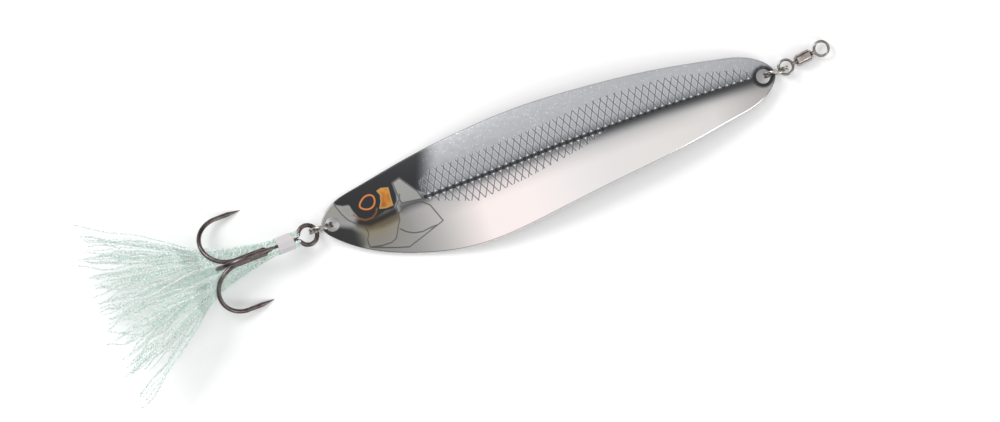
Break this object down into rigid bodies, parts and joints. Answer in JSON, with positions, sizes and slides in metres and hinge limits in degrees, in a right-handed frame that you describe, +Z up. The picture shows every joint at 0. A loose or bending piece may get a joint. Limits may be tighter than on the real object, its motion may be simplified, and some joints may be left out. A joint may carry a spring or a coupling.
{
  "type": "spoon lure",
  "caption": "Long curved metal spoon lure with a split ring and barrel swivel at the line end and a tinsel-dressed treble hook on a split ring at the tail.",
  "frame": {"origin": "centre of the swivel's outer eye, where the line is tied", "axes": "+X ahead along the blade towards the line, +Y to the side with the painted fish's back, +Z up from the surface it lies on, out of the decorated face"},
  "size_m": [0.209, 0.0472, 0.0242],
  "materials": {
    "blade_plating": "mirror nickel-chrome plate on stamped brass, with printed and lacquered fish decoration",
    "ring_nickel": "bright nickel-plated spring steel wire",
    "swivel_wire": "polished dark nickel",
    "swivel_shell": "rolled and polished dark nickel",
    "hook_wire": "black-nickel plated forged wire",
    "braze": "plated braze",
    "thread": "white waxed thread",
    "sleeve_tube": "milky soft tube",
    "tinsel_film": "crinkled pearl film strands, pale mint"
  },
  "bodies": {
    "blade": {"spoon_blade": "blade_plating"},
    "front_ring": {"front_split_ring": "ring_nickel"},
    "inner_eye": {"swivel_lower_eye": "swivel_wire"},
    "barrel": {"swivel_barrel": "swivel_shell"},
    "outer_eye": {"swivel_upper_eye": "swivel_wire"},
    "rear_ring": {"rear_split_ring": "ring_nickel"},
    "treble": {"collar_sleeve": "sleeve_tube", "tinsel_back_high": "tinsel_film", "tinsel_back_low": "tinsel_film", "tinsel_back_middle": "tinsel_film", "tinsel_belly_high": "tinsel_film", "tinsel_belly_low": "tinsel_film", "tinsel_belly_middle": "tinsel_film", "tinsel_under_back": "tinsel_film", "tinsel_under_belly": "tinsel_film", "tinsel_under_middle": "tinsel_film", "treble_braze": "braze", "treble_double_hook": "hook_wire", "treble_single_hook": "hook_wire", "tying_thread": "thread"}
  },
  "joints": [
    {"name": "front_ring_swing", "type": "hinge", "parent": "blade", "child": "front_ring", "pos_m": [-0.01352, -0.002, 0.00185], "axis": [0, -1, 0], "range_deg": [-25, 100]},
    {"name": "swivel_yaw", "type": "hinge", "parent": "front_ring", "child": "inner_eye", "pos_m": [-0.01048, -0.0016, 0], "axis": [0, 0, 1], "range_deg": [-75, 75]},
    {"name": "barrel_spin", "type": "hinge", "parent": "inner_eye", "child": "barrel", "pos_m": [-0.00524, -0.0008, 0], "axis": [0.9885, 0.1513, 0], "continuous": true},
    {"name": "line_eye_spin", "type": "hinge", "parent": "barrel", "child": "outer_eye", "pos_m": [-0.00524, -0.0008, 0], "axis": [0.9885, 0.1513, 0], "continuous": true},
    {"name": "rear_ring_swing", "type": "hinge", "parent": "blade", "child": "rear_ring", "pos_m": [-0.14097, -0.002, 0.00185], "axis": [0, 1, 0], "range_deg": [-30, 90]},
    {"name": "treble_yaw", "type": "hinge", "parent": "rear_ring", "child": "treble", "pos_m": [-0.14479, -0.00255, 0.00187], "axis": [0.2628, 0.0106, 0.9648], "range_deg": [-75, 75]}
  ]
}
